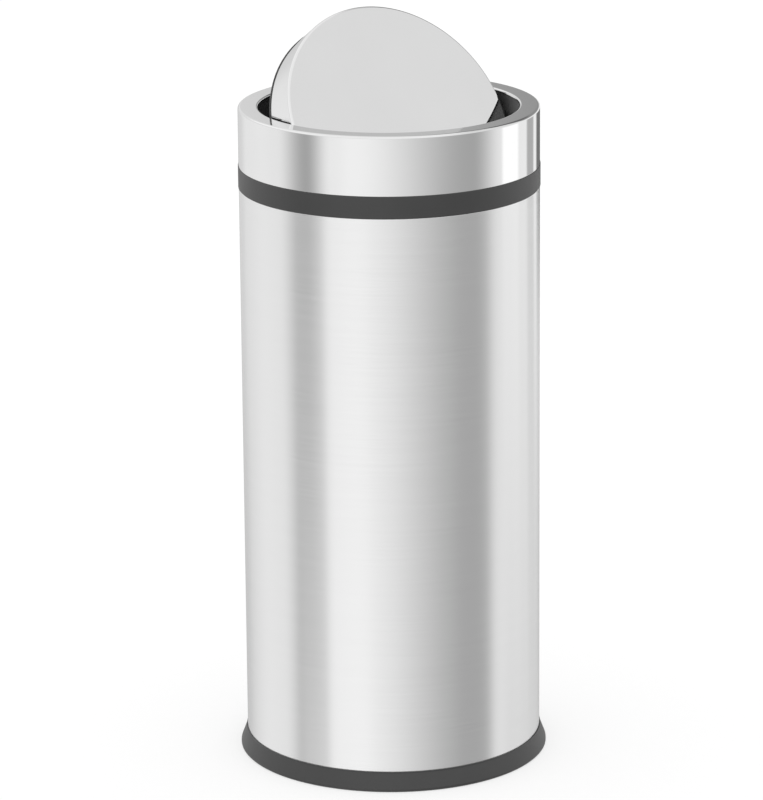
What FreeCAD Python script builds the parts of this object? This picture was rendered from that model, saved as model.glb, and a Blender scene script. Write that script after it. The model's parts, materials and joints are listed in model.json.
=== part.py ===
import FreeCAD, Part
import math
import os
from FreeCAD import Rotation, Vector

# Swing-top trash can: a brushed steel drum standing in a black base tray, under a lift-off top.
# The top is a black joint ring, a polished collar and a moulded pivot ring that carries a weighted lid.
# Origin on the floor under the drum's centre, +Z up, the lid's pivot along X, the front towards -Y.
# Sizes are in millimetres, angles in degrees.

# Drum, a rolled sheet with a folded hem at its rim and a lap seam inside its back
drum_radius = 150.0
drum_height = 579.3
drum_sheet = 0.8
hem_height = 9.0
seam_width = 14.0

# Base tray, its ribbed underside and its rubber pads
base_flare = 6.7
base_side_height = 3.4
base_lip_height = 19.7
base_lip = 0.8
base_lip_edge = 1.5
base_foot_width = 18.0
base_foot_depth = 4.6
base_plate = 2.5
base_chamfer = 1.0
ribs_per_screw = 2
rib_width = 3.0
root_depth = 1.0
hub_radius = 22.0
pad_count = 6
pad_radius = 7.0
pad_height = 3.0
pad_proud = 0.4

# Floor pan, pressed from sheet, with its flange turned down and a raised middle
pan_flange = 14.0
pan_bend = 4.0
pan_rise = 4.0
pan_step_inset = 44.0
pan_step_run = 7.0
pan_screw_inset = 25.0
pan_screw_count = 6

# Joint ring between the drum and the collar
band_height = 22.0
band_proud = 0.6
band_chamfer = 0.4
ring_wall = 3.05
lower_spigot = 26.0
upper_spigot = 14.0
spigot_chamfer = 1.6
lug_height = 10.0
lug_reach = 6.0
lug_radius = 6.0
lug_count = 4

# Collar, spun from sheet
collar_height = 59.0
collar_sheet = 0.8
collar_round = 2.5
collar_face_width = 20.0
lip_round = 1.6
lip_depth = 2.4

# Pivot ring inside the collar
housing_setback = 1.5
housing_wall = 2.2
housing_chamfer = 1.1
boss_width = 36.0
boss_depth = 12.7
post_radius = 5.0
post_height = 14.0

# Lid, a shallow steel pan closed below by a moulded base
lid_gap = 3.5
lid_rim_proud = 0.8
lid_rim_chamfer = 0.6
lid_sheet = 0.6
lid_bend = 2.6
lid_sink = 2.0
lid_depth = 39.4
lid_tilt = 55.5
pivot_drop = 27.0
lid_base_plate = 2.5
lid_base_rim = 1.9
lid_base_wall = 2.3
lid_wall_height = 21.0
pivot_pad_width = 24.0
pivot_pad_depth = 3.0
bead_inset = 30.5
bead_width = 4.0
bead_height = 1.5

# Pivot pins, bushes, brackets and stop arms
pin_radius = 3.0
pin_collar_radius = 6.0
bush_wall = 2.0
bush_flange = 1.5
bush_flange_radius = 8.0
bracket_width = 40.0
bracket_sheet = 2.0
bracket_foot = 20.0
bracket_bend = 3.0
nut_flats = 10.0
nut_height = 5.0
swing_limit = 75.0
arm_length = 14.0
arm_half_angle = 12.0
arm_sheet = 2.4
arm_hub_radius = 6.0

# Counterweight bar under the lid
weight_length = 160.0
weight_width = 26.0
weight_height = 16.0
weight_round = 5.0
weight_screw_spacing = 100.0

# Screws
screw_radius = 1.9
screw_head_radius = 4.0
screw_head_height = 2.4
screw_grip = 8.0
bracket_screw_spacing = 24.0

# Clearances
seat_gap = 0.2
lift_gap = 0.35
fit_gap = 0.2
running_gap = 0.05
thrust_gap = 0.3
stop_gap_angle = 1.5
screw_gap = 0.3
thread_gap = 0.05

# Heights that follow from the stack
base_radius = drum_radius + base_flare
base_underside = pad_proud + base_foot_depth
drum_bottom = base_underside + base_plate
drum_top = drum_bottom + drum_height
pan_top = drum_bottom + pan_flange
pan_underside = pan_top - drum_sheet
band_bottom = drum_top + seat_gap
band_top = band_bottom + band_height
can_top = band_top + collar_height
ring_top = band_top + upper_spigot
pivot_height = can_top - pivot_drop

# Radii that follow from the fits
drum_inner_radius = drum_radius - drum_sheet
hem_radius = drum_inner_radius - drum_sheet
spigot_radius = hem_radius - lift_gap
ring_inner_radius = spigot_radius - ring_wall
pan_radius = drum_inner_radius - fit_gap
pan_step_radius = pan_radius - pan_step_inset
pan_screw_radius = pan_radius - pan_screw_inset
collar_inner_radius = drum_radius - collar_sheet
opening_radius = drum_radius - collar_face_width
housing_radius = opening_radius + housing_setback
housing_rim_radius = collar_inner_radius - fit_gap
lid_rim_radius = opening_radius - lid_gap
lid_radius = lid_rim_radius - lid_rim_proud
screw_hole_radius = screw_radius + screw_gap
thread_hole_radius = screw_radius + thread_gap
lug_centre_radius = ring_inner_radius - lug_reach

# Levels of the lid above its pivot, as it lies closed
face_level = pivot_drop - lid_sink
base_level = face_level - lid_depth
rim_level = base_level + lid_base_rim
plate_level = base_level + lid_base_plate
lid_wall_radius = lid_radius - lid_sheet - fit_gap
lid_wall_inner = lid_wall_radius - lid_base_wall
bead_radius = lid_radius - bead_inset - bead_width

# Stations along the pivot, outwards from the lid's centre
pad_face = math.sqrt(lid_wall_inner ** 2 - (pivot_pad_width / 2) ** 2) - pivot_pad_depth
web_inner = pad_face - bracket_sheet
pin_collar_start = lid_radius + fit_gap
bush_seat = math.sqrt(housing_radius ** 2 - bush_flange_radius ** 2) - fit_gap
bush_face = bush_seat - bush_flange
pin_collar_end = bush_face - thrust_gap
boss_face = housing_radius + boss_depth
arm_pocket = arm_sheet + 2 * thrust_gap
pocket_floor = boss_face - arm_pocket
bush_end = pocket_floor
arm_start = pocket_floor + thrust_gap
pin_end = arm_start + arm_sheet
bush_hole_radius = pin_radius + bush_wall + fit_gap

ORIGIN = Vector(0, 0, 0)
X_AXIS = Vector(1, 0, 0)
Z_AXIS = Vector(0, 0, 1)


def rounded_wire(corners):
    """Closed wire in the XZ plane through (x, z) corners; a third value rounds that corner."""
    count = len(corners)
    spots = [Vector(corner[0], 0, corner[1]) for corner in corners]
    edges = []
    ends = []
    for i in range(count):
        spot = spots[i]
        radius = corners[i][2] if len(corners[i]) > 2 else 0
        if radius <= 0:
            ends.append((spot, spot, None))
            continue
        back = (spots[i - 1] - spot).normalize()
        ahead = (spots[(i + 1) % count] - spot).normalize()
        half_angle = back.getAngle(ahead) / 2
        reach = radius / math.tan(half_angle)
        bisector = (back + ahead).normalize()
        middle = spot + bisector * (radius / math.sin(half_angle) - radius)
        ends.append((spot + back * reach, spot + ahead * reach, middle))
    for i in range(count):
        start, end, middle = ends[i]
        if middle is not None:
            edges.append(Part.Arc(start, middle, end).toShape())
        following = ends[(i + 1) % count][0]
        if end.distanceToPoint(following) > 1e-6:
            edges.append(Part.LineSegment(end, following).toShape())
    return Part.Wire(edges)


def bend_cut(outer_round, sheet):
    """Leg of the straight cut inside a bend that keeps the sheet's thickness behind the round."""
    return (outer_round - sheet) * (2 - math.sqrt(2))


def turned(corners):
    """Solid of revolution about Z from a closed (radius, z) outline."""
    return Part.Face(rounded_wire(corners)).revolve(ORIGIN, Z_AXIS, 360)


def folded(corners, width):
    """Sheet profile in the XZ plane, drawn out along Y to both sides."""
    face = Part.Face(rounded_wire(corners))
    face.translate(Vector(0, -width / 2, 0))
    return face.extrude(Vector(0, width, 0))


def block(low, high):
    """Box between two corners."""
    return Part.makeBox(high[0] - low[0], high[1] - low[1], high[2] - low[2], Vector(*low))


def post(radius, bottom, top, x=0.0, y=0.0):
    """Upright cylinder."""
    return Part.makeCylinder(radius, top - bottom, Vector(x, y, bottom))


def rod(radius, start, end, z=0.0):
    """Cylinder along X at height z."""
    return Part.makeCylinder(radius, end - start, Vector(start, 0, z), X_AXIS)


def around(shape, count, first_angle=0.0):
    """Copies of a shape spread evenly about Z."""
    copies = []
    for i in range(count):
        copy = shape.copy()
        copy.rotate(ORIGIN, Z_AXIS, first_angle + i * 360.0 / count)
        copies.append(copy)
    return copies


def both_ends(shape):
    """The shape and its twin at the other end of the pivot."""
    return around(shape, 2)


def screw(length):
    """Screw with its head below z = 0 and its shank pointing up."""
    head = post(screw_head_radius, -screw_head_height, 0)
    return head.fuse(post(screw_radius, 0, length)).removeSplitter()


def tilted(shape):
    """A lid piece drawn closed about the pivot, set at the lid's resting tilt."""
    copy = shape.copy()
    copy.rotate(ORIGIN, X_AXIS, lid_tilt)
    copy.translate(Vector(0, 0, pivot_height))
    return copy


def make_body_shell():
    shell = turned([
        (drum_radius, drum_bottom),
        (drum_radius, drum_top),
        (hem_radius, drum_top),
        (hem_radius, drum_top - hem_height),
        (drum_inner_radius, drum_top - hem_height),
        (drum_inner_radius, drum_bottom),
    ])
    seam_bottom = pan_top + pan_rise + pan_bend
    seam_top = drum_top - hem_height
    ring = post(drum_inner_radius, seam_bottom, seam_top).cut(post(hem_radius, seam_bottom, seam_top))
    seam = ring.common(block((-seam_width / 2, 0, seam_bottom), (seam_width / 2, drum_radius, seam_top)))
    return shell.fuse(seam).removeSplitter()


def pan_screw_spots():
    spot = Vector(pan_screw_radius, 0, 0)
    return [Rotation(Z_AXIS, i * 360.0 / pan_screw_count).multVec(spot) for i in range(pan_screw_count)]


def make_base_tray():
    socket_radius = drum_radius + fit_gap
    lip_radius = socket_radius + base_lip
    foot_inner = base_radius - base_foot_width
    tray = turned([
        (0, base_underside),
        (foot_inner, base_underside),
        (foot_inner, pad_proud),
        (base_radius - base_chamfer, pad_proud),
        (base_radius, pad_proud + base_chamfer),
        (base_radius, base_side_height),
        (lip_radius, base_lip_height - base_lip_edge),
        (lip_radius, base_lip_height),
        (socket_radius, base_lip_height),
        (socket_radius, drum_bottom),
        (0, drum_bottom),
    ])
    rib = block(
        (hub_radius - rib_width, -rib_width / 2, pad_proud),
        (foot_inner + root_depth, rib_width / 2, base_underside),
    )
    hub = post(hub_radius, pad_proud, base_underside)
    hub = hub.cut(post(hub_radius - rib_width, pad_proud, base_underside))
    bosses = [post(post_radius, base_underside, pan_underside, s.x, s.y) for s in pan_screw_spots()]
    rib_count = ribs_per_screw * pan_screw_count
    ribs = around(rib, rib_count, 180.0 / rib_count)
    tray = tray.multiFuse(ribs + [hub] + bosses).removeSplitter()
    seat = post(pad_radius + fit_gap, 0, pad_height, base_radius - base_foot_width / 2)
    holes = [post(screw_hole_radius, 0, pan_underside, s.x, s.y) for s in pan_screw_spots()]
    return tray.cut(Part.makeCompound(around(seat, pad_count) + holes))


def make_foot_pads():
    pad = post(pad_radius, 0, pad_height, base_radius - base_foot_width / 2)
    return Part.makeCompound(around(pad, pad_count))


def make_floor_pan():
    step_end = pan_step_radius + pan_step_run
    flange_inner = pan_radius - drum_sheet
    inner_cut = bend_cut(pan_bend, drum_sheet)
    pan = turned([
        (0, pan_underside + pan_rise),
        (pan_step_radius, pan_underside + pan_rise),
        (step_end, pan_underside),
        (flange_inner - inner_cut, pan_underside),
        (flange_inner, pan_underside - inner_cut),
        (flange_inner, drum_bottom),
        (pan_radius, drum_bottom),
        (pan_radius, pan_top, pan_bend),
        (step_end, pan_top),
        (pan_step_radius, pan_top + pan_rise),
        (0, pan_top + pan_rise),
    ])
    holes = [post(thread_hole_radius, drum_bottom, pan_top, s.x, s.y) for s in pan_screw_spots()]
    return pan.cut(Part.makeCompound(holes))


def make_floor_screws():
    screws = []
    for spot in pan_screw_spots():
        one = screw(pan_top - base_underside)
        one.translate(Vector(spot.x, spot.y, base_underside))
        screws.append(one)
    return Part.makeCompound(screws)


def lug_spots():
    spot = Vector(lug_centre_radius, 0, 0)
    return [Rotation(Z_AXIS, (i + 0.5) * 360.0 / lug_count).multVec(spot) for i in range(lug_count)]


def make_joint_ring():
    band_radius = drum_radius + band_proud
    ring = turned([
        (ring_inner_radius, band_bottom - lower_spigot),
        (spigot_radius - spigot_chamfer, band_bottom - lower_spigot),
        (spigot_radius, band_bottom - lower_spigot + spigot_chamfer),
        (spigot_radius, band_bottom),
        (band_radius - band_chamfer, band_bottom),
        (band_radius, band_bottom + band_chamfer),
        (band_radius, band_top - band_chamfer),
        (band_radius - band_chamfer, band_top),
        (housing_rim_radius, band_top),
        (housing_rim_radius, ring_top - spigot_chamfer),
        (housing_rim_radius - spigot_chamfer, ring_top),
        (ring_inner_radius, ring_top),
    ])
    lug_bottom = ring_top - lug_height
    web_end = ring_inner_radius + root_depth
    web = block((lug_centre_radius, -lug_radius, lug_bottom), (web_end, lug_radius, ring_top))
    lug = web.fuse(post(lug_radius, lug_bottom, ring_top, lug_centre_radius))
    ring = ring.multiFuse(around(lug, lug_count, 180.0 / lug_count)).removeSplitter()
    holes = [post(screw_hole_radius, lug_bottom, ring_top, s.x, s.y) for s in lug_spots()]
    return ring.cut(Part.makeCompound(holes))


def make_collar_shell():
    face_under = can_top - collar_sheet
    lip_inner = opening_radius + collar_sheet
    lip_cut = bend_cut(lip_round, collar_sheet)
    face_cut = bend_cut(collar_round, collar_sheet)
    return turned([
        (drum_radius, band_top),
        (drum_radius, can_top, collar_round),
        (opening_radius, can_top, lip_round),
        (opening_radius, can_top - lip_depth),
        (lip_inner, can_top - lip_depth),
        (lip_inner, face_under - lip_cut),
        (lip_inner + lip_cut, face_under),
        (collar_inner_radius - face_cut, face_under),
        (collar_inner_radius, face_under - face_cut),
        (collar_inner_radius, band_top),
    ])


def arm_outline(length, half_angle, eye_radius, start, end):
    """Fan-shaped arm about the pivot that hangs down, between two stations along X."""
    eye = rod(eye_radius, start, end)
    fan = Part.makeCylinder(length, end - start, Vector(start, 0, 0), X_AXIS, 2 * half_angle)
    fan.rotate(ORIGIN, X_AXIS, 180 - half_angle)
    return eye.fuse(fan).removeSplitter()


def make_lid_housing():
    top = can_top - collar_sheet
    outer_wall = housing_radius + housing_wall
    ring = turned([
        (housing_radius, ring_top),
        (housing_rim_radius, ring_top),
        (housing_rim_radius, ring_top + housing_wall),
        (outer_wall, ring_top + housing_wall),
        (outer_wall, top - housing_wall),
        (housing_rim_radius - collar_round, top - housing_wall),
        (housing_rim_radius - collar_round, top),
        (housing_radius + housing_chamfer, top),
        (housing_radius, top - housing_chamfer),
    ])
    boss = block((housing_radius - housing_wall, -boss_width / 2, ring_top), (boss_face, boss_width / 2, top))
    boss = boss.cut(post(housing_radius + housing_wall / 2, ring_top, top))
    posts = [post(post_radius, ring_top, ring_top + post_height, s.x, s.y) for s in lug_spots()]
    ring = ring.multiFuse(both_ends(boss) + posts).removeSplitter()
    bush_hole = rod(bush_hole_radius, housing_radius - housing_wall, boss_face)
    sweep_angle = swing_limit + arm_half_angle + stop_gap_angle
    pocket_eye = arm_hub_radius + thrust_gap
    pocket = arm_outline(arm_length + thrust_gap, sweep_angle, pocket_eye, pocket_floor, boss_face)
    cutter = bush_hole.fuse(pocket)
    cutter.translate(Vector(0, 0, pivot_height))
    holes = [post(thread_hole_radius, ring_top, ring_top + screw_grip, s.x, s.y) for s in lug_spots()]
    return ring.cut(Part.makeCompound(both_ends(cutter) + holes))


def make_housing_screws():
    screws = []
    for spot in lug_spots():
        one = screw(lug_height + screw_grip)
        one.translate(Vector(spot.x, spot.y, ring_top - lug_height))
        screws.append(one)
    return Part.makeCompound(screws)


def make_bush():
    outer_radius = bush_hole_radius - fit_gap
    sleeve = rod(outer_radius, bush_seat, bush_end).fuse(rod(bush_flange_radius, bush_face, bush_seat))
    bush = sleeve.removeSplitter().cut(rod(pin_radius + running_gap, bush_face, bush_end))
    bush.translate(Vector(0, 0, pivot_height))
    return bush


def make_lid_cap():
    inner_radius = lid_radius - lid_sheet
    face_under = face_level - lid_sheet
    inner_cut = bend_cut(lid_bend, lid_sheet)
    cap = turned([
        (0, face_level),
        (lid_radius, face_level, lid_bend),
        (lid_radius, rim_level),
        (inner_radius, rim_level),
        (inner_radius, face_under - inner_cut),
        (inner_radius - inner_cut, face_under),
        (0, face_under),
    ])
    return cap.cut(rod(pin_radius + fit_gap, -drum_radius, drum_radius))


def bracket_screw_x():
    return pad_face - bracket_foot + 2 * screw_head_radius


def bracket_screw_spots():
    half = bracket_screw_spacing / 2
    return [(side * bracket_screw_x(), y) for side in (-1, 1) for y in (-half, half)]


def weight_screw_spots():
    return [(-weight_screw_spacing / 2, 0), (weight_screw_spacing / 2, 0)]


def make_lid_base():
    base = turned([
        (0, base_level),
        (bead_radius, base_level),
        (bead_radius + bead_height, base_level - bead_height),
        (bead_radius + bead_width - bead_height, base_level - bead_height),
        (bead_radius + bead_width, base_level),
        (lid_rim_radius - lid_rim_chamfer, base_level),
        (lid_rim_radius, base_level + lid_rim_chamfer),
        (lid_rim_radius, rim_level),
        (lid_wall_radius, rim_level),
        (lid_wall_radius, rim_level + lid_wall_height),
        (lid_wall_inner, rim_level + lid_wall_height),
        (lid_wall_inner, plate_level),
        (0, plate_level),
    ])
    pad = block(
        (pad_face, -pivot_pad_width / 2, plate_level),
        (lid_radius, pivot_pad_width / 2, rim_level + lid_wall_height),
    ).common(post(lid_wall_radius, base_level, face_level))
    boss_top = plate_level + screw_grip
    bosses = [post(post_radius, plate_level, boss_top, x, y) for x, y in weight_screw_spots()]
    base = base.multiFuse(both_ends(pad) + bosses).removeSplitter()
    holes = [post(screw_hole_radius, base_level, plate_level, x, y) for x, y in bracket_screw_spots()]
    holes += [post(thread_hole_radius, base_level, boss_top, x, y) for x, y in weight_screw_spots()]
    holes.append(rod(pin_radius + fit_gap, -lid_radius, lid_radius))
    return base.cut(Part.makeCompound(holes))


def make_bracket():
    low = plate_level
    high = face_level - lid_sheet
    tip = pad_face - bracket_foot
    inner_bend = bracket_bend - bracket_sheet
    channel = folded([
        (tip, low),
        (pad_face, low, bracket_bend),
        (pad_face, high, bracket_bend),
        (tip, high),
        (tip, high - bracket_sheet),
        (web_inner, high - bracket_sheet, inner_bend),
        (web_inner, low + bracket_sheet, inner_bend),
        (tip, low + bracket_sheet),
    ], bracket_width)
    half = bracket_screw_spacing / 2
    holes = [post(thread_hole_radius, low, low + bracket_sheet, bracket_screw_x(), y) for y in (-half, half)]
    holes.append(rod(pin_radius + fit_gap, tip, pad_face))
    return channel.cut(Part.makeCompound(holes))


def make_pin():
    shank = rod(pin_radius, web_inner - nut_height, pin_end)
    return shank.fuse(rod(pin_collar_radius, pin_collar_start, pin_collar_end)).removeSplitter()


def make_nut():
    corner_radius = nut_flats / 2 / math.cos(math.radians(30))
    start = web_inner - nut_height
    corner = Vector(start, corner_radius, 0)
    corners = [Rotation(X_AXIS, 60 * i).multVec(corner) for i in range(7)]
    hexagon = Part.Face(Part.makePolygon(corners)).extrude(Vector(nut_height, 0, 0))
    return hexagon.cut(rod(pin_radius + thread_gap, start, web_inner))


def make_stop_arm():
    arm = arm_outline(arm_length, arm_half_angle, arm_hub_radius, arm_start, pin_end)
    return arm.cut(rod(pin_radius + thread_gap, arm_start, pin_end))


def make_counterweight():
    half_length = weight_length / 2
    half_width = weight_width / 2
    bottom = base_level - weight_height
    bar = block((-half_length, -half_width, bottom), (half_length, half_width, base_level))
    uprights = [edge for edge in bar.Edges if abs(edge.tangentAt(edge.FirstParameter).z) > 0.9]
    bar = bar.makeFillet(weight_round, uprights)
    holes = [post(screw_hole_radius, bottom, base_level, x, y) for x, y in weight_screw_spots()]
    sinks = [
        post(screw_head_radius + screw_gap, bottom, bottom + screw_head_height, x, y)
        for x, y in weight_screw_spots()
    ]
    return bar.cut(Part.makeCompound(holes + sinks))


def make_weight_screws():
    seat = base_level - weight_height + screw_head_height
    screws = []
    for x, y in weight_screw_spots():
        one = screw(plate_level + screw_grip - seat)
        one.translate(Vector(x, y, seat))
        screws.append(one)
    return Part.makeCompound(screws)


def make_lid_screws():
    screws = []
    for x, y in bracket_screw_spots():
        one = screw(lid_base_plate + bracket_sheet)
        one.translate(Vector(x, y, base_level))
        screws.append(one)
    return Part.makeCompound(screws)


right_bush, left_bush = both_ends(make_bush())
right_bracket, left_bracket = both_ends(make_bracket())
right_pin, left_pin = both_ends(make_pin())
right_arm, left_arm = both_ends(make_stop_arm())

nodes = {
    "body_shell": make_body_shell(),
    "base_tray": make_base_tray(),
    "foot_pads": make_foot_pads(),
    "floor_pan": make_floor_pan(),
    "floor_screws": make_floor_screws(),
    "joint_ring": make_joint_ring(),
    "collar_shell": make_collar_shell(),
    "lid_housing": make_lid_housing(),
    "housing_screws": make_housing_screws(),
    "left_pivot_bush": left_bush,
    "right_pivot_bush": right_bush,
    "lid_cap": tilted(make_lid_cap()),
    "lid_base": tilted(make_lid_base()),
    "left_pivot_bracket": tilted(left_bracket),
    "right_pivot_bracket": tilted(right_bracket),
    "left_pivot_pin": tilted(left_pin),
    "right_pivot_pin": tilted(right_pin),
    "left_stop_arm": tilted(left_arm),
    "right_stop_arm": tilted(right_arm),
    "pivot_nuts": tilted(Part.makeCompound(both_ends(make_nut()))),
    "lid_screws": tilted(make_lid_screws()),
    "counterweight": tilted(make_counterweight()),
    "weight_screws": tilted(make_weight_screws()),
}

os.makedirs("parts", exist_ok=True)
for name, shape in nodes.items():
    shape.exportStep("parts/" + name + ".step")
    state = "valid" if shape.isValid() else "INVALID"
    print(name, len(shape.Solids), "solids", round(shape.Volume), "mm3", state)
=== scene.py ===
import json
import math
import bmesh
import bpy
from mathutils import Matrix, Vector


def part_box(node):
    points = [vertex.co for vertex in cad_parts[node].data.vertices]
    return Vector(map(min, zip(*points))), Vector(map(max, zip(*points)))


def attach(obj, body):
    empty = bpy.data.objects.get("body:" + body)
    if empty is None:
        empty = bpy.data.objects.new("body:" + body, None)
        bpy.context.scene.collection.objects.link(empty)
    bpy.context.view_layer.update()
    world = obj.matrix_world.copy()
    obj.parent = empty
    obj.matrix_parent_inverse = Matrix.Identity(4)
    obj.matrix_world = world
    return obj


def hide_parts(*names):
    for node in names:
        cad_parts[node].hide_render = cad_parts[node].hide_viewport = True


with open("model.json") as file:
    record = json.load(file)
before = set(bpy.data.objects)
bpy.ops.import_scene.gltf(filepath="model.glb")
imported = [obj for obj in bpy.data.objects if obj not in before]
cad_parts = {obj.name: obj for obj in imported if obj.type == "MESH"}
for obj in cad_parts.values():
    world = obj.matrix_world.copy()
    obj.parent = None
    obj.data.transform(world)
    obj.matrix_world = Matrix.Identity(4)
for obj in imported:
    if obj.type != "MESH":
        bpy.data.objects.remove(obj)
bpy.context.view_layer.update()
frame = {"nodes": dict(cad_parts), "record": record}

# Swing-top trash can: a brushed steel drum in a black base tray, a black joint band,
# a polished collar and a polished lid that swings on two pins.
# Everything is in metres in the CAD frame: floor at z = 0, the lid's pivot along X.

MM = 0.001
UPRIGHT = Matrix.Identity(4)

# Sizes read from the CAD model
DRUM_LOW, DRUM_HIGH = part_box("body_shell")
COLLAR_LOW, COLLAR_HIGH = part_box("collar_shell")
DRUM_RADIUS = DRUM_HIGH.x
COLLAR_RADIUS = COLLAR_HIGH.x
JOINTS = {joint["name"]: joint for joint in frame["record"]["behaviour"]["joints"]}
PIVOT = Vector(JOINTS["lid_swing"]["pos_m"])

# Sheet, folds and rounds of the steel pieces; a cut edge is rounded by a share of its sheet
CUT_EDGE = 0.3
DRUM_SHEET = 0.8 * MM
HEM_HEIGHT = 9 * MM
HEM_ROUND = 0.6 * MM
COLLAR_SHEET = 0.8 * MM
COLLAR_ROUND = 2.5 * MM
COLLAR_FACE = 20 * MM
LIP_ROUND = 1.6 * MM
LIP_DEPTH = 2.4 * MM

# Lid, drawn closed about its pivot and then set at its tilt
LID_RADIUS = 125.7 * MM
LID_SHEET = 0.6 * MM
LID_BEND = 2.6 * MM
LID_FACE = 25 * MM
LID_RIM = -12.5 * MM
LID_UNDERSIDE = -14.4 * MM
LID_TILT = math.radians(55.5)
LID_PLACE = Matrix.Translation(PIVOT) @ Matrix.Rotation(LID_TILT, 4, "X")

# Lap seam down the inside of the drum's back, with its column of spot welds
SEAM_WIDTH = 14 * MM
SEAM_BOTTOM = 29.5 * MM
SEAM_STEPS = 8
WELD_PITCH = 24 * MM
WELD_RADIUS = 2.4 * MM
WELD_HEIGHT = 0.25 * MM

# Rubber pads under the base tray, with two round grooves in the face of each
PAD_COUNT = 6
PAD_RING = 147.7 * MM
PAD_RADIUS = 7 * MM
PAD_HEIGHT = 3 * MM
PAD_CHAMFER = 0.4 * MM
GROOVE_RADII = (2.45 * MM, 4.76 * MM)
GROOVE_DEPTH = 0.5 * MM
GROOVE_MOUTH = 1.2 * MM
GROOVE_FLOOR = 0.6 * MM

# Screws, all of one kind, and where their heads seat
SCREW_SHANK = 1.9 * MM
SCREW_HEAD = 4 * MM
SCREW_HEAD_HEIGHT = 2.4 * MM
SCREW_EDGE = 1.2 * MM
RECESS_WIDTH = 0.9 * MM
RECESS_SPAN = 4.4 * MM
RECESS_DEPTH = 1.3 * MM
FLOOR_SCREW_COUNT = 6
FLOOR_SCREW_RING = 124 * MM
FLOOR_SCREW_SEAT = 5 * MM
FLOOR_SCREW_LENGTH = 16.5 * MM
HOUSING_SCREW_COUNT = 4
HOUSING_SCREW_RING = 139 * MM
HOUSING_SCREW_SEAT = 613 * MM
HOUSING_SCREW_LENGTH = 18 * MM
LID_SCREW_SPOTS = [(side * 107 * MM, y * MM) for side in (-1, 1) for y in (-12, 12)]
LID_SCREW_LENGTH = 4.5 * MM
WEIGHT_SCREW_SPOTS = [(-50 * MM, 0), (50 * MM, 0)]
WEIGHT_SCREW_SEAT = -28 * MM
WEIGHT_SCREW_LENGTH = 24.1 * MM

# Fineness of the meshes; RAIL is the radius of the circle that a profile is carried along
RAIL = 1.0
SHEET_SEGMENTS = 256
PAD_SEGMENTS = 48
HEAD_SEGMENTS = 48
SHANK_SEGMENTS = 32
WELD_SEGMENTS = 20
WELD_RINGS = 12
ROUND_STEPS = 6
ROUND_LEAD = 0.25 * MM
MERGE_DISTANCE = 0.002 * MM
SHARP_ANGLE = math.radians(35)

# Camera of the photograph: where it stands about the can, and how it is aimed
VIEW_TURN = math.radians(-35.9)
VIEW_DISTANCE = 4.3825
VIEW_HEIGHT = 1.6032
VIEW_PITCH = 0.2757
VIEW_YAW = -0.0022
VIEW_ROLL = -0.0085
VIEW_REACH = 100.0
FOCAL_LENGTH = 202.95
SENSOR_WIDTH = 36.0


# Small helpers

def add_node(tree, kind, inputs=None, **settings):
    """Adds a node; inputs maps a socket's name or index to a value or to a socket to link."""
    made = tree.nodes.new(kind)
    for name, value in settings.items():
        setattr(made, name, value)
    for key, value in (inputs or {}).items():
        if isinstance(value, bpy.types.NodeSocket):
            tree.links.new(value, made.inputs[key])
        else:
            made.inputs[key].default_value = value
    return made


def add_math(tree, operation, first, second=0.0, third=0.0):
    sockets = {0: first, 1: second, 2: third}
    return add_node(tree, "ShaderNodeMath", sockets, operation=operation).outputs[0]


def fade(tree, value, start, end):
    """Rises smoothly from 0 at start to 1 at end; with start above end it falls."""
    low, high, first, last = (start, end, 0.0, 1.0) if start < end else (end, start, 1.0, 0.0)
    sockets = {0: value, 1: low, 2: high, 3: first, 4: last}
    return add_node(tree, "ShaderNodeMapRange", sockets, interpolation_type="SMOOTHSTEP").outputs[0]


def place(name, mesh, move=UPRIGHT):
    """Makes a finished object of a mesh: doubles merged, faces outwards, its place in the mesh."""
    work = bmesh.new()
    work.from_mesh(mesh)
    bmesh.ops.remove_doubles(work, verts=work.verts, dist=MERGE_DISTANCE)
    bmesh.ops.recalc_face_normals(work, faces=work.faces)
    work.transform(move)
    work.to_mesh(mesh)
    work.free()
    mesh.shade_smooth()
    mesh.set_sharp_from_angle(angle=SHARP_ANGLE)
    piece = bpy.data.objects.new(name, mesh)
    bpy.context.scene.collection.objects.link(piece)
    return piece


def rounded(corners):
    """Outline through (radius, height, round) corners, with a short straight lead beside each round."""
    spots = [Vector((corner[0], corner[1])) for corner in corners]
    outline = []
    for i, corner in enumerate(corners):
        spot = spots[i]
        if len(corner) < 3:
            outline.append(spot)
            continue
        back = (spots[i - 1] - spot).normalized()
        ahead = (spots[(i + 1) % len(spots)] - spot).normalized()
        half = back.angle(ahead) / 2
        reach = corner[2] / math.tan(half)
        centre = spot + (back + ahead).normalized() * (corner[2] / math.sin(half))
        start = spot + back * reach - centre
        sweep = start.angle_signed(spot + ahead * reach - centre)
        outline.append(centre + start + back * ROUND_LEAD)
        for step in range(ROUND_STEPS + 1):
            turn = Matrix.Rotation(-sweep * step / ROUND_STEPS, 2)
            outline.append(centre + turn @ start)
        outline.append(spot + ahead * (reach + ROUND_LEAD))
    return outline


def ring_of_spots(count, radius, height, first=0.0):
    """Points spread evenly round the can's axis."""
    turns = [first + i * 2 * math.pi / count for i in range(count)]
    return [(radius * math.cos(turn), radius * math.sin(turn), height) for turn in turns]


# Geometry node trees

def group_tree(name, inputs):
    """A geometry tree with the named inputs, its inputs' identifiers and the sockets that give them."""
    tree = bpy.data.node_groups.new(name, "GeometryNodeTree")
    tree.interface.new_socket("Geometry", in_out="INPUT", socket_type="NodeSocketGeometry")
    tree.interface.new_socket("Geometry", in_out="OUTPUT", socket_type="NodeSocketGeometry")
    keys = {}
    for label, kind in inputs.items():
        socket = tree.interface.new_socket(label, in_out="INPUT", socket_type="NodeSocket" + kind)
        keys[label] = socket.identifier
    return tree, keys, tree.nodes.new("NodeGroupInput").outputs


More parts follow.
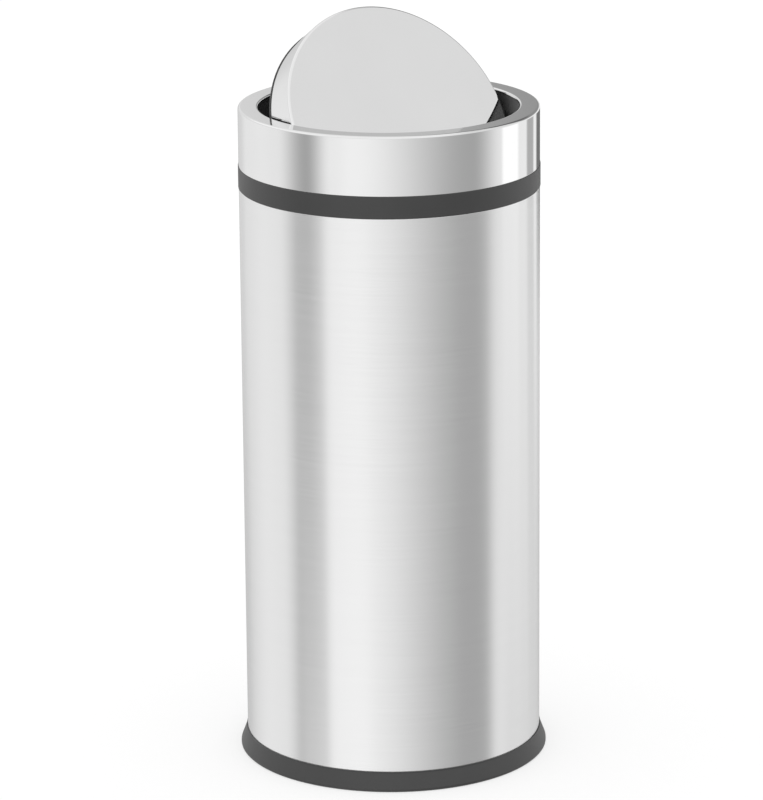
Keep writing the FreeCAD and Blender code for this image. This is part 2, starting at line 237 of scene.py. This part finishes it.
def close_tree(tree, geometry, finish):
    whole = add_node(tree, "GeometryNodeRealizeInstances", {"Geometry": geometry})
    dressed = add_node(tree, "GeometryNodeSetMaterial", {"Geometry": whole.outputs[0], "Material": finish})
    add_node(tree, "NodeGroupOutput", {0: dressed.outputs[0]})


def carried_round(tree, given):
    """The given profile carried along a circle, which makes a turned skin."""
    rail = add_node(tree, "GeometryNodeCurvePrimitiveCircle",
                    {"Resolution": given["Segments"], "Radius": RAIL})
    skin = add_node(tree, "GeometryNodeCurveToMesh", {
        "Curve": rail.outputs["Curve"], "Profile Curve": given["Geometry"], "Fill Caps": False})
    return skin.outputs["Mesh"]


def combine_xyz(tree, x=0.0, y=0.0, z=0.0):
    return add_node(tree, "ShaderNodeCombineXYZ", {0: x, 1: y, 2: z}).outputs[0]


def combine_meshes(tree, operation, first, second):
    both = add_node(tree, "GeometryNodeMeshBoolean", operation=operation, solver="EXACT")
    tree.links.new(first, both.inputs["Mesh 1" if operation == "DIFFERENCE" else "Mesh 2"])
    tree.links.new(second, both.inputs["Mesh 2"])
    return both.outputs["Mesh"]


def moved_up(tree, geometry, height):
    move = {"Geometry": geometry, "Translation": combine_xyz(tree, z=height)}
    return add_node(tree, "GeometryNodeTransform", move).outputs[0]


def turning_tree():
    """A sheet spun or rolled round the can's axis from its profile."""
    tree, keys, given = group_tree("turned_sheet", {"Segments": "Int", "Finish": "Material"})
    close_tree(tree, carried_round(tree, given), given["Finish"])
    return tree, keys


def pad_tree():
    """A small turned piece, set evenly round the can's axis."""
    tree, keys, given = group_tree("turned_pads", {
        "Count": "Int", "Ring Radius": "Float", "Segments": "Int", "Finish": "Material"})
    pad = carried_round(tree, given)
    ring = add_node(tree, "GeometryNodeMeshCircle",
                    {"Vertices": given["Count"], "Radius": given["Ring Radius"]})
    pads = add_node(tree, "GeometryNodeInstanceOnPoints", {"Points": ring.outputs["Mesh"], "Instance": pad})
    close_tree(tree, pads.outputs["Instances"], given["Finish"])
    return tree, keys


def weld_tree():
    """A seam strip with spot welds on it, one above the other."""
    tree, keys, given = group_tree("spot_welds", {
        "Count": "Int", "First": "Vector", "Pitch": "Vector", "Radius": "Float", "Height": "Float",
        "Finish": "Material"})
    column = add_node(tree, "GeometryNodeMeshLine", {
        "Count": given["Count"], "Start Location": given["First"], "Offset": given["Pitch"]}, mode="OFFSET")
    drop = add_node(tree, "GeometryNodeMeshUVSphere", {
        "Segments": WELD_SEGMENTS, "Rings": WELD_RINGS, "Radius": 1.0})
    size = combine_xyz(tree, given["Radius"], given["Height"], given["Radius"])
    welds = add_node(tree, "GeometryNodeInstanceOnPoints", {
        "Points": column.outputs["Mesh"], "Instance": drop.outputs["Mesh"], "Scale": size})
    both = add_node(tree, "GeometryNodeJoinGeometry")
    tree.links.new(given["Geometry"], both.inputs[0])
    tree.links.new(welds.outputs["Instances"], both.inputs[0])
    close_tree(tree, both.outputs[0], given["Finish"])
    return tree, keys


def screw_head(tree, size):
    """Pan head below z = 0: a domed blank with a cross recess cut into it."""
    blank = add_node(tree, "GeometryNodeMeshCylinder", {
        "Vertices": HEAD_SEGMENTS, "Radius": size["Head Radius"], "Depth": size["Head Height"]})
    blank = moved_up(tree, blank.outputs["Mesh"], add_math(tree, "MULTIPLY", size["Head Height"], -0.5))
    crown = add_math(tree, "SUBTRACT", size["Head Height"], size["Edge Height"])
    squares = add_math(tree, "MULTIPLY_ADD", size["Head Radius"], size["Head Radius"],
                       add_math(tree, "MULTIPLY", crown, crown))
    dome_radius = add_math(tree, "DIVIDE", squares, add_math(tree, "MULTIPLY", crown, 2.0))
    dome = add_node(tree, "GeometryNodeMeshUVSphere", {
        "Segments": HEAD_SEGMENTS, "Rings": HEAD_SEGMENTS, "Radius": dome_radius})
    dome_height = add_math(tree, "SUBTRACT", dome_radius, size["Head Height"])
    head = combine_meshes(tree, "INTERSECT", blank, moved_up(tree, dome.outputs["Mesh"], dome_height))
    slot_height = add_math(tree, "MULTIPLY", size["Recess Depth"], 2.0)
    for along in (0, 1):
        reach = [size["Recess Width"], size["Recess Width"]]
        reach[along] = size["Recess Span"]
        slot = add_node(tree, "GeometryNodeMeshCube", {"Size": combine_xyz(tree, *reach, slot_height)})
        slot = moved_up(tree, slot.outputs["Mesh"], add_math(tree, "MULTIPLY", size["Head Height"], -1.0))
        head = combine_meshes(tree, "DIFFERENCE", head, slot)
    return head


def screw_tree():
    """A pan-head screw, head down, at each point of a mesh and each turned its own way."""
    tree, keys, size = group_tree("screws", {
        "Head Radius": "Float", "Head Height": "Float", "Edge Height": "Float", "Shank Radius": "Float",
        "Length": "Float", "Recess Width": "Float", "Recess Span": "Float", "Recess Depth": "Float",
        "Seed": "Int", "Finish": "Material"})
    head = screw_head(tree, size)
    sunk = add_math(tree, "MULTIPLY", size["Edge Height"], 0.5)
    shank = add_node(tree, "GeometryNodeMeshCylinder", {
        "Vertices": SHANK_SEGMENTS, "Radius": size["Shank Radius"],
        "Depth": add_math(tree, "ADD", size["Length"], sunk)})
    middle = add_math(tree, "MULTIPLY", add_math(tree, "SUBTRACT", size["Length"], sunk), 0.5)
    screw = combine_meshes(tree, "UNION", head, moved_up(tree, shank.outputs["Mesh"], middle))
    turn = add_node(tree, "FunctionNodeRandomValue", {"Max": (0, 0, math.pi), "Seed": size["Seed"]},
                    data_type="FLOAT_VECTOR")
    set_screws = add_node(tree, "GeometryNodeInstanceOnPoints", {
        "Points": size["Geometry"], "Instance": screw, "Rotation": turn.outputs[0]})
    close_tree(tree, set_screws.outputs["Instances"], size["Finish"])
    return tree, keys


def grow(name, data, maker, values):
    """Runs a geometry tree on a curve or mesh and gives back the plain mesh."""
    tree, keys = maker
    seed = bpy.data.objects.new(name + "_seed", data)
    bpy.context.scene.collection.objects.link(seed)
    modifier = seed.modifiers.new("maker", "NODES")
    modifier.node_group = tree
    for label, value in values.items():
        modifier[keys[label]] = value
    depsgraph = bpy.context.evaluated_depsgraph_get()
    mesh = bpy.data.meshes.new_from_object(seed.evaluated_get(depsgraph))
    mesh.name = name
    bpy.data.objects.remove(seed)
    return mesh


def profile_curve(name, outline, closed):
    """Profile for a turned skin, whose rail has the radius RAIL and turns heights over."""
    curve = bpy.data.curves.new(name, "CURVE")
    curve.dimensions = "3D"
    line = curve.splines.new("POLY")
    line.points.add(len(outline) - 1)
    for point, spot in zip(line.points, outline):
        point.co = (spot.x - RAIL, -spot.y, 0, 1)
    line.use_cyclic_u = closed
    return curve


def turned(name, corners, finish, closed=True, move=UPRIGHT):
    curve = profile_curve(name, rounded(corners), closed)
    mesh = grow(name, curve, TURNING, {"Segments": SHEET_SEGMENTS, "Finish": finish})
    return place(name, mesh, move)


def screws(name, spots, length, seed, move):
    seats = bpy.data.meshes.new(name + "_seats")
    seats.from_pydata(spots, [], [])
    mesh = grow(name, seats, SCREWS, {
        "Head Radius": SCREW_HEAD, "Head Height": SCREW_HEAD_HEIGHT, "Edge Height": SCREW_EDGE,
        "Shank Radius": SCREW_SHANK, "Length": length, "Recess Width": RECESS_WIDTH,
        "Recess Span": RECESS_SPAN, "Recess Depth": RECESS_DEPTH, "Seed": seed,
        "Finish": FINISHES["zinc_steel"]})
    return place(name, mesh, move)


# Finishes. Noise scales are in cells per metre, tones and roughness run from low to high

NOISE_RANGE = (0.3, 0.7)
GRAIN_DISTANCE = 0.1 * MM
HAIRLINE_CELLS = (12, 12, 900)
HAIRLINE_TONES = (0.888, 0.912)
HAIRLINE_ROUGHNESS = (0.195, 0.225)
HAIRLINE_BUMP = 0.04
HAIRLINE_DISTANCE = 0.05 * MM
BRUSHING = 0.9
QUARTER_TURN = 0.25
WELD_LINE = 0.5 * MM
WELD_LINE_EDGE = 0.9 * MM
WELD_LINE_DULL = 0.12
METAL = {"metallic": 1.0, "cells": 60.0, "tones": (0.9, 1.08), "roughness": (0.8, 1.2)}
SOFT = {"metallic": 0.0, "cells": 90.0, "tones": (0.92, 1.06), "roughness": (0.92, 1.08)}


def new_finish(name, metallic):
    material = bpy.data.materials.new(name)
    material.use_nodes = True
    shader = material.node_tree.nodes["Principled BSDF"]
    shader.inputs["Metallic"].default_value = metallic
    return material, material.node_tree, shader


def object_noise(tree, cells, detail, stretch=(1, 1, 1)):
    """Noise on Object coordinates, stretched along the axes."""
    spot = add_node(tree, "ShaderNodeTexCoord").outputs["Object"]
    spot = add_node(tree, "ShaderNodeMapping", {"Vector": spot, "Scale": stretch}).outputs[0]
    noise = add_node(tree, "ShaderNodeTexNoise", {"Vector": spot, "Scale": cells, "Detail": detail})
    return noise.outputs["Fac"]


def spread(tree, noise, low, high):
    """Maps the middle range of a noise to low and high."""
    sockets = {0: noise, 1: NOISE_RANGE[0], 2: NOISE_RANGE[1], 3: low, 4: high}
    return add_node(tree, "ShaderNodeMapRange", sockets).outputs[0]


def set_tone(tree, shader, tone):
    colour = add_node(tree, "ShaderNodeCombineColor", {0: tone, 1: tone, 2: tone})
    tree.links.new(colour.outputs[0], shader.inputs["Base Color"])


def set_bump(tree, shader, height, strength, distance):
    bump = add_node(tree, "ShaderNodeBump", {"Height": height, "Strength": strength, "Distance": distance})
    tree.links.new(bump.outputs[0], shader.inputs["Normal"])


def drum_steel():
    """Brushed steel: hairlines round the drum, and a ground weld down its back."""
    material, tree, shader = new_finish("drum_steel", metallic=1.0)
    hairlines = object_noise(tree, 1.0, 4.0, HAIRLINE_CELLS)
    spot = add_node(tree, "ShaderNodeTexCoord").outputs["Object"]
    part = add_node(tree, "ShaderNodeSeparateXYZ", {0: spot}).outputs
    beside = fade(tree, add_math(tree, "ABSOLUTE", part[0]), WELD_LINE_EDGE, WELD_LINE)
    weld = add_math(tree, "MULTIPLY", beside, add_math(tree, "GREATER_THAN", part[1], 0.0))
    dull = add_math(tree, "MULTIPLY", weld, WELD_LINE_DULL)
    set_tone(tree, shader, add_math(tree, "SUBTRACT", spread(tree, hairlines, *HAIRLINE_TONES), dull))
    rough = add_math(tree, "ADD", spread(tree, hairlines, *HAIRLINE_ROUGHNESS), dull)
    tree.links.new(rough, shader.inputs["Roughness"])
    height = add_math(tree, "SUBTRACT", hairlines, weld)
    set_bump(tree, shader, height, HAIRLINE_BUMP, HAIRLINE_DISTANCE)
    shader.inputs["Anisotropic"].default_value = BRUSHING
    shader.inputs["Anisotropic Rotation"].default_value = QUARTER_TURN
    tangent = add_node(tree, "ShaderNodeTangent", direction_type="RADIAL", axis="Z")
    tree.links.new(tangent.outputs[0], shader.inputs["Tangent"])
    return material


def polished_steel():
    """Mirror-polished steel with the faint haze that wiping leaves."""
    material, tree, shader = new_finish("polished_steel", metallic=1.0)
    haze = object_noise(tree, cells=14.0, detail=4.0)
    set_tone(tree, shader, spread(tree, haze, low=0.89, high=0.91))
    tree.links.new(spread(tree, haze, low=0.05, high=0.075), shader.inputs["Roughness"])
    return material


def black_plastic():
    """Moulded black plastic with a fine grain."""
    material, tree, shader = new_finish("black_plastic", metallic=0.0)
    grain = object_noise(tree, cells=1500.0, detail=2.0)
    cloud = object_noise(tree, cells=25.0, detail=3.0)
    set_tone(tree, shader, spread(tree, cloud, low=0.055, high=0.061))
    tree.links.new(spread(tree, cloud, low=0.41, high=0.49), shader.inputs["Roughness"])
    set_bump(tree, shader, grain, 0.15, GRAIN_DISTANCE)
    return material


def mottled(name, look, tone, roughness, grain_cells, grain_bump):
    """Small pieces of metal, rubber or bearing plastic: a soft mottle and a fine surface grain."""
    material, tree, shader = new_finish(name, look["metallic"])
    mottle = object_noise(tree, look["cells"], detail=3.0)
    grain = object_noise(tree, grain_cells, detail=2.0)
    tones = [tone * share for share in look["tones"]]
    rough = [roughness * share for share in look["roughness"]]
    set_tone(tree, shader, spread(tree, mottle, *tones))
    tree.links.new(spread(tree, mottle, *rough), shader.inputs["Roughness"])
    set_bump(tree, shader, grain, grain_bump, GRAIN_DISTANCE)
    return material


TURNING = turning_tree()
PADS = pad_tree()
WELDS = weld_tree()
SCREWS = screw_tree()
FINISHES = {
    "drum_steel": drum_steel(),
    "polished_steel": polished_steel(),
    "black_plastic": black_plastic(),
    "pan_steel": mottled("pan_steel", METAL, tone=0.6, roughness=0.42, grain_cells=700, grain_bump=0.2),
    "pin_steel": mottled("pin_steel", METAL, tone=0.7, roughness=0.25, grain_cells=900, grain_bump=0.1),
    "zinc_steel": mottled("zinc_steel", METAL, tone=0.66, roughness=0.38, grain_cells=800, grain_bump=0.2),
    "weight_iron": mottled("weight_iron", METAL, tone=0.16, roughness=0.55, grain_cells=420, grain_bump=0.5),
    "pad_rubber": mottled("pad_rubber", SOFT, tone=0.03, roughness=0.75, grain_cells=900, grain_bump=0.4),
    "bush_plastic": mottled("bush_plastic", SOFT, tone=0.72, roughness=0.4, grain_cells=900, grain_bump=0.15),
}


def dress(piece, node, body):
    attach(piece, body)
    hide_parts(node)


# Steel pieces

def make_drum():
    """Rolled sheet with its rim folded inwards."""
    top, bottom = DRUM_HIGH.z, DRUM_LOW.z
    inner = DRUM_RADIUS - DRUM_SHEET
    hem = inner - DRUM_SHEET
    piece = turned("drum_wall", [
        (DRUM_RADIUS, bottom),
        (DRUM_RADIUS, top, HEM_ROUND),
        (hem, top, HEM_ROUND),
        (hem, top - HEM_HEIGHT, CUT_EDGE * DRUM_SHEET),
        (inner, top - HEM_HEIGHT),
        (inner, bottom),
    ], FINISHES["drum_steel"])
    dress(piece, "body_shell", "can")


def make_collar():
    """Spun sheet: an upright wall, a flat top face and a turned-down lip."""
    top, bottom = COLLAR_HIGH.z, COLLAR_LOW.z
    opening = COLLAR_RADIUS - COLLAR_FACE
    under = top - COLLAR_SHEET
    piece = turned("collar", [
        (COLLAR_RADIUS, bottom, CUT_EDGE * COLLAR_SHEET),
        (COLLAR_RADIUS, top, COLLAR_ROUND),
        (opening, top, LIP_ROUND),
        (opening, top - LIP_DEPTH, CUT_EDGE * COLLAR_SHEET),
        (opening + COLLAR_SHEET, top - LIP_DEPTH),
        (opening + COLLAR_SHEET, under, LIP_ROUND - COLLAR_SHEET),
        (COLLAR_RADIUS - COLLAR_SHEET, under, COLLAR_ROUND - COLLAR_SHEET),
        (COLLAR_RADIUS - COLLAR_SHEET, bottom),
    ], FINISHES["polished_steel"])
    dress(piece, "collar_shell", "top")


def make_lid():
    """Shallow polished pan, drawn closed and set at the lid's tilt."""
    inner = LID_RADIUS - LID_SHEET
    piece = turned("lid_pan", [
        (0, LID_FACE),
        (LID_RADIUS, LID_FACE, LID_BEND),
        (LID_RADIUS, LID_RIM, CUT_EDGE * LID_SHEET),
        (inner, LID_RIM),
        (inner, LID_FACE - LID_SHEET, LID_BEND - LID_SHEET),
        (0, LID_FACE - LID_SHEET),
    ], FINISHES["polished_steel"], closed=False, move=LID_PLACE)
    dress(piece, "lid_cap", "lid")


def make_seam():
    """Lapped strip inside the drum's back, held by a column of spot welds."""
    outer = DRUM_RADIUS - DRUM_SHEET
    inner = outer - DRUM_SHEET
    top = DRUM_HIGH.z - HEM_HEIGHT
    half = math.asin(SEAM_WIDTH / 2 / outer)
    turns = [half * (2 * step / SEAM_STEPS - 1) for step in range(SEAM_STEPS + 1)]
    section = [(radius * math.sin(turn), radius * math.cos(turn))
               for radius, way in ((outer, turns), (inner, turns[::-1])) for turn in way]
    count = len(section)
    points = [(x, y, z) for z in (SEAM_BOTTOM, top) for x, y in section]
    sides = [(i, (i + 1) % count, count + (i + 1) % count, count + i) for i in range(count)]
    ends = [tuple(range(count)), tuple(range(count, 2 * count))]
    strip = bpy.data.meshes.new("seam")
    strip.from_pydata(points, [], sides + ends)
    weld_count = int((top - SEAM_BOTTOM) / WELD_PITCH)
    first = (SEAM_BOTTOM + top - (weld_count - 1) * WELD_PITCH) / 2
    mesh = grow("lap_seam", strip, WELDS, {
        "Count": weld_count, "First": (0, inner, first), "Pitch": (0, 0, WELD_PITCH),
        "Radius": WELD_RADIUS, "Height": WELD_HEIGHT, "Finish": FINISHES["drum_steel"]})
    dress(place("lap_seam", mesh), "body_shell", "can")


# Rubber pads and screws

def make_pads():
    """Rubber discs with two grooves in the face that grips the floor."""
    outline = [(0, 0)]
    for middle in GROOVE_RADII:
        outline += [(middle - GROOVE_MOUTH / 2, 0), (middle - GROOVE_FLOOR / 2, GROOVE_DEPTH),
                    (middle + GROOVE_FLOOR / 2, GROOVE_DEPTH), (middle + GROOVE_MOUTH / 2, 0)]
    outline += [(PAD_RADIUS, 0, PAD_CHAMFER), (PAD_RADIUS, PAD_HEIGHT, PAD_CHAMFER), (0, PAD_HEIGHT)]
    curve = profile_curve("pads", rounded(outline), False)
    mesh = grow("rubber_pads", curve, PADS, {
        "Count": PAD_COUNT, "Ring Radius": PAD_RING, "Segments": PAD_SEGMENTS,
        "Finish": FINISHES["pad_rubber"]})
    dress(place("rubber_pads", mesh), "foot_pads", "can")


def make_screws():
    """Four sets of one screw, each set with its own seed: in the tray, the top, the lid and its bar."""
    floor = ring_of_spots(FLOOR_SCREW_COUNT, FLOOR_SCREW_RING, FLOOR_SCREW_SEAT)
    housing = ring_of_spots(HOUSING_SCREW_COUNT, HOUSING_SCREW_RING, HOUSING_SCREW_SEAT,
                            first=math.pi / HOUSING_SCREW_COUNT)
    brackets = [(x, y, LID_UNDERSIDE) for x, y in LID_SCREW_SPOTS]
    weight = [(x, y, WEIGHT_SCREW_SEAT) for x, y in WEIGHT_SCREW_SPOTS]
    for name, node, body, spots, length, seed, move in (
        ("tray_screws", "floor_screws", "can", floor, FLOOR_SCREW_LENGTH, 3, UPRIGHT),
        ("ring_screws", "housing_screws", "top", housing, HOUSING_SCREW_LENGTH, 5, UPRIGHT),
        ("bracket_screws", "lid_screws", "lid", brackets, LID_SCREW_LENGTH, 7, LID_PLACE),
        ("bar_screws", "weight_screws", "lid", weight, WEIGHT_SCREW_LENGTH, 9, LID_PLACE),
    ):
        dress(screws(name, spots, length, seed, move), node, body)


def dress_cad_nodes():
    """Every CAD node that stays gets the finish of its material slot."""
    for part in frame["record"]["subparts"]:
        for slot in frame["nodes"][part["node"]].material_slots:
            slot.material = FINISHES[part["material_slot"]]


# Studio that the steel mirrors. A direction is given by degrees round from the camera and by its rise,
# the sine of its height. A sector is a centre, a half width and a soft edge in degrees, and a band is
# the same in rises. Where two rises are given, a thing fades in from the first to the second.

# Walls round the can, as degrees and brightness: pale, with grey stretches left, right and behind the can
WALLS = [
    (-180, 0.58), (-158, 0.69), (-138, 0.84), (-112, 0.87), (-95, 0.85), (-66, 0.40),
    (-44, 0.90), (-28, 0.95), (66, 0.40), (98, 0.88), (158, 0.92), (180, 0.58),
]
WALL_TOP = (0.03, 0.17)

# Panels before the walls, each at the rises that one part of the can mirrors: sector and brightness
DRUM_RISES = (-0.24, -0.30)
FOOT_RISES = (-0.25, -0.40)
COLLAR_BAND = (-0.21, 0.02, 0.02)
PANELS = [
    ("drum", (-66, 4, 14), 0.32),
    ("drum", (-35, 9, 15), 1.0),
    ("drum", (68, 8, 12), 0.39),
    ("drum", (180, 10, 55), 0.56),
    ("foot", (-66, 5, 13), 0.84),
    ("foot", (124, 18, 16), 0.64),
    ("collar", (106, 8, 4), 1.12),
    ("collar", (137, 5, 4), 0.45),
    ("collar", (168, 13, 5), 0.18),
]

# Overhead: a ceiling, a softbox that dims towards the zenith, a grey flag, and a dim corner with a dark strip
CEILING = 0.77
SOFTBOX_SECTOR = (-48, 96, 20)
SOFTBOX_RISES = (0.30, 0.48)
ZENITH_RISES = (0.80, 0.90)
SOFTBOX_DIMMING = (0.50, 0.85)
SOFTBOX_LOW = 0.99
SOFTBOX_HIGH = 0.89
FLAG_SECTOR = (117, 10, 12)
FLAG_BAND = (0.81, 0.02, 0.05)
FLAG = 0.58
CORNER_SECTOR = (151, 26, 6.6)
CORNER_RISES = (0.66, 0.50)
CORNER = 0.28
STRIP_SECTOR = (152, 18, 10)
STRIP_BAND = (0.58, 0.14, 0.06)
STRIP = 0.14

# Even sky that lights the surfaces, apart from what they mirror, and the floor
SKY_RISES = (0.2, 0.9)
SKY_LOW = 0.85
SKY_HIGH = 1.2
FLOOR_TONE = 0.4
FLOOR_GLOW = 0.60
FLOOR_HALF = 20.0


def paint(tone):
    return (tone, tone, tone, 1)


def blend_tone(tree, share, first, second):
    sockets = {0: share, 6: first, 7: second}
    return add_node(tree, "ShaderNodeMix", sockets, data_type="RGBA").outputs[2]


def in_sector(tree, turn, sector):
    """1 inside a sector round the can, fading to 0 over its soft edge."""
    centre, half, soft = sector
    offset = add_math(tree, "SUBTRACT", turn, math.radians(centre))
    wrapped = add_math(tree, "WRAP", offset, math.pi, -math.pi)
    degrees = add_math(tree, "MULTIPLY", add_math(tree, "ABSOLUTE", wrapped), 180 / math.pi)
    return fade(tree, degrees, half + soft, half)


def in_band(tree, rise, band):
    """1 inside a band of rises, given as centre, half height and soft edge."""
    centre, half, soft = band
    offset = add_math(tree, "ABSOLUTE", add_math(tree, "SUBTRACT", rise, centre))
    return fade(tree, offset, half + soft, half)


def wall_brightness(tree, turn):
    """Brightness of the walls by the degrees round from the camera."""
    share = add_math(tree, "FRACT", add_math(tree, "MULTIPLY_ADD", turn, 0.5 / math.pi, 0.5))
    ramp = add_node(tree, "ShaderNodeValToRGB", {0: share})
    ramp.color_ramp.interpolation = "EASE"
    stops = ramp.color_ramp.elements
    for stop, (_, tone) in zip(stops, (WALLS[0], WALLS[-1])):
        stop.color = paint(tone)
    for degrees, tone in WALLS[1:-1]:
        stops.new((degrees + 180) / 360).color = paint(tone)
    return ramp.outputs[0]


def walls_and_panels(tree, turn, rise):
    around = wall_brightness(tree, turn)
    levels = {
        "collar": in_band(tree, rise, COLLAR_BAND),
        "drum": fade(tree, rise, *DRUM_RISES),
        "foot": fade(tree, rise, *FOOT_RISES),
    }
    for level, sector, tone in PANELS:
        panel = add_math(tree, "MULTIPLY", levels[level], in_sector(tree, turn, sector))
        around = blend_tone(tree, panel, around, paint(tone))
    return around


def overhead(tree, turn, rise):
    key = add_math(tree, "MULTIPLY", in_sector(tree, turn, SOFTBOX_SECTOR), fade(tree, rise, *SOFTBOX_RISES))
    key = add_math(tree, "MAXIMUM", key, fade(tree, rise, *ZENITH_RISES))
    softbox = blend_tone(tree, fade(tree, rise, *SOFTBOX_DIMMING), paint(SOFTBOX_LOW), paint(SOFTBOX_HIGH))
    above = blend_tone(tree, key, paint(CEILING), softbox)
    flag = add_math(tree, "MULTIPLY", in_sector(tree, turn, FLAG_SECTOR), in_band(tree, rise, FLAG_BAND))
    above = blend_tone(tree, flag, above, paint(FLAG))
    corner = add_math(tree, "MULTIPLY", in_sector(tree, turn, CORNER_SECTOR), fade(tree, rise, *CORNER_RISES))
    above = blend_tone(tree, corner, above, paint(CORNER))
    strip = add_math(tree, "MULTIPLY", in_sector(tree, turn, STRIP_SECTOR), in_band(tree, rise, STRIP_BAND))
    return blend_tone(tree, strip, above, paint(STRIP))


def make_world():
    """White to the camera, the studio in reflections, and an even sky for all other light."""
    world = bpy.data.worlds.new("studio")
    bpy.context.scene.world = world
    world.use_nodes = True
    tree = world.node_tree
    tree.nodes.clear()
    heading = add_node(tree, "ShaderNodeTexCoord").outputs["Generated"]
    part = add_node(tree, "ShaderNodeSeparateXYZ", {0: heading}).outputs
    rise = part[2]
    turn = add_math(tree, "ARCTAN2", part[0], add_math(tree, "MULTIPLY", part[1], -1.0))
    turn = add_math(tree, "SUBTRACT", turn, VIEW_TURN)
    around = walls_and_panels(tree, turn, rise)
    studio = blend_tone(tree, fade(tree, rise, *WALL_TOP), around, overhead(tree, turn, rise))
    sky = blend_tone(tree, fade(tree, rise, *SKY_RISES), paint(SKY_LOW), paint(SKY_HIGH))
    mirror, even, white = [add_node(tree, "ShaderNodeBackground", {"Color": colour}).outputs[0]
                           for colour in (studio, sky, paint(1))]
    path = add_node(tree, "ShaderNodeLightPath").outputs
    mirrored = add_math(tree, "MAXIMUM", path["Is Glossy Ray"], path["Is Transmission Ray"])
    seen = add_node(tree, "ShaderNodeMixShader", {0: mirrored, 1: even, 2: mirror}).outputs[0]
    whole = add_node(tree, "ShaderNodeMixShader", {0: path["Is Camera Ray"], 1: seen, 2: white})
    add_node(tree, "ShaderNodeOutputWorld", {0: whole.outputs[0]})


def make_floor():
    """Pale floor that the camera sees as white, and that keeps the can's soft shadow."""
    material = bpy.data.materials.new("floor_white")
    material.use_nodes = True
    tree = material.node_tree
    tree.nodes.clear()
    matt = add_node(tree, "ShaderNodeBsdfDiffuse", {"Color": paint(FLOOR_TONE)})
    path = add_node(tree, "ShaderNodeLightPath")
    strength = add_math(tree, "MULTIPLY", path.outputs["Is Camera Ray"], FLOOR_GLOW)
    glow = add_node(tree, "ShaderNodeEmission", {"Strength": strength})
    both = add_node(tree, "ShaderNodeAddShader", {0: matt.outputs[0], 1: glow.outputs[0]})
    add_node(tree, "ShaderNodeOutputMaterial", {0: both.outputs[0]})
    mesh = bpy.data.meshes.new("floor")
    corners = [(x * FLOOR_HALF, y * FLOOR_HALF, 0) for x, y in ((-1, -1), (1, -1), (1, 1), (-1, 1))]
    mesh.from_pydata(corners, [], [(0, 1, 2, 3)])
    mesh.materials.append(material)
    floor = bpy.data.objects.new("floor", mesh)
    floor.visible_glossy = False
    bpy.context.scene.collection.objects.link(floor)


def make_camera():
    data = bpy.data.cameras.new("photo_camera")
    data.sensor_width = SENSOR_WIDTH
    data.lens = FOCAL_LENGTH
    data.clip_end = VIEW_REACH
    level = math.cos(VIEW_PITCH)
    forward = Vector((math.sin(VIEW_YAW) * level, math.cos(VIEW_YAW) * level, -math.sin(VIEW_PITCH)))
    right = Vector((math.cos(VIEW_YAW), -math.sin(VIEW_YAW), 0))
    axes = Matrix((right, right.cross(forward), -forward)).transposed() @ Matrix.Rotation(VIEW_ROLL, 3, "Z")
    stand = Matrix.Translation((0, -VIEW_DISTANCE, VIEW_HEIGHT)) @ axes.to_4x4()
    camera = bpy.data.objects.new("photo_camera", data)
    camera.matrix_world = Matrix.Rotation(VIEW_TURN, 4, "Z") @ stand
    bpy.context.scene.collection.objects.link(camera)
    bpy.context.scene.camera = camera


make_drum()
make_collar()
make_lid()
make_seam()
make_pads()
make_screws()
dress_cad_nodes()
make_world()
make_floor()
make_camera()
bpy.context.scene.view_settings.view_transform = "Standard"
